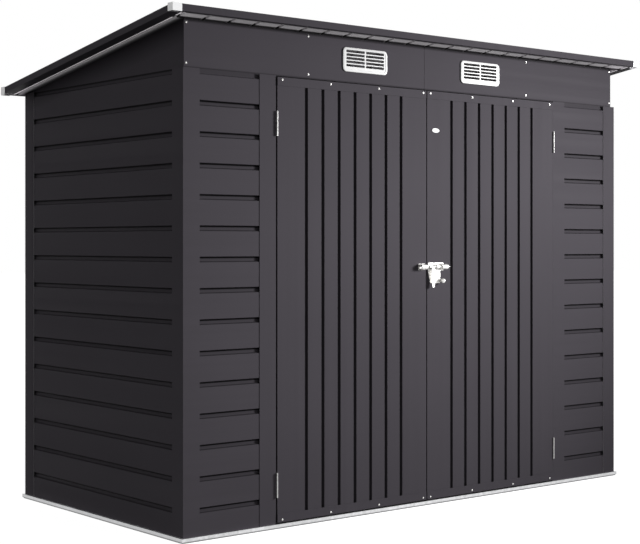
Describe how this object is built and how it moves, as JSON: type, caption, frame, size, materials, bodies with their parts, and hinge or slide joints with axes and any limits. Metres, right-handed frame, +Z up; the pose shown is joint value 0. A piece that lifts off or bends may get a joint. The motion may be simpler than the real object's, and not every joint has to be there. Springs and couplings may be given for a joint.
{
  "type": "metal storage shed",
  "caption": "Low lean-to garden shed of grooved steel siding with a single-pitch ribbed roof, a pair of hinged ribbed doors, louvre vents and a sliding latch.",
  "frame": {"origin": "on the ground, under the middle of the roof's plan", "axes": "+X to the right seen from the doors, along the longest side; +Y from the doors to the back wall; +Z up"},
  "size_m": [2.479, 1.254, 1.8461],
  "materials": {
    "siding_paint": "satin",
    "roof_paint": "satin",
    "frame_steel": "satin",
    "white_plastic": "satin",
    "bright_metal": "satin"
  },
  "bodies": {
    "shed": {"back_left_corner": "siding_paint", "back_left_panel": "siding_paint", "back_right_corner": "siding_paint", "back_right_panel": "siding_paint", "base_rail_back": "frame_steel", "base_rail_front": "frame_steel", "base_rail_left": "frame_steel", "base_rail_right": "frame_steel", "door_head_rail": "frame_steel", "frame_hinges": "bright_metal", "front_left_corner": "siding_paint", "front_left_header": "siding_paint", "front_left_panel": "siding_paint", "front_right_corner": "siding_paint", "front_right_header": "siding_paint", "front_right_panel": "siding_paint", "left_door_jamb": "siding_paint", "left_gable_panel": "siding_paint", "left_vent": "white_plastic", "left_wall_panel": "siding_paint", "right_door_jamb": "siding_paint", "right_gable_panel": "siding_paint", "right_vent": "white_plastic", "right_wall_panel": "siding_paint", "roof_corner_caps": "frame_steel", "roof_purlins": "frame_steel", "roof_sheet_left": "roof_paint", "roof_sheet_mid_left": "roof_paint", "roof_sheet_mid_right": "roof_paint", "roof_sheet_right": "roof_paint", "roof_trim_back": "siding_paint", "roof_trim_front": "siding_paint", "roof_trim_left": "siding_paint", "roof_trim_right": "siding_paint", "wall_mid_rails": "frame_steel", "wall_top_rails": "frame_steel"},
    "left_door": {"left_door_panel": "siding_paint", "left_door_rails": "siding_paint", "left_door_hinges": "bright_metal", "latch_keeper": "bright_metal"},
    "right_door": {"right_door_panel": "siding_paint", "right_door_rails": "siding_paint", "right_door_hinges": "bright_metal", "latch_plate": "bright_metal", "latch_knob": "bright_metal", "door_badge": "white_plastic"},
    "latch_bolt": {"latch_bolt": "bright_metal"}
  },
  "joints": [
    {"name": "left_door_hinge", "type": "hinge", "parent": "shed", "child": "left_door", "pos_m": [-0.746, -0.578, 0.158], "axis": [0, 0, -1], "range_deg": [0, 170]},
    {"name": "right_door_hinge", "type": "hinge", "parent": "shed", "child": "right_door", "pos_m": [0.746, -0.578, 0.158], "axis": [0, 0, 1], "range_deg": [0, 170]},
    {"name": "latch_bolt_slide", "type": "slide", "parent": "right_door", "child": "latch_bolt", "axis": [-1, 0, 0], "range_m": [0, 0.024]}
  ]
}
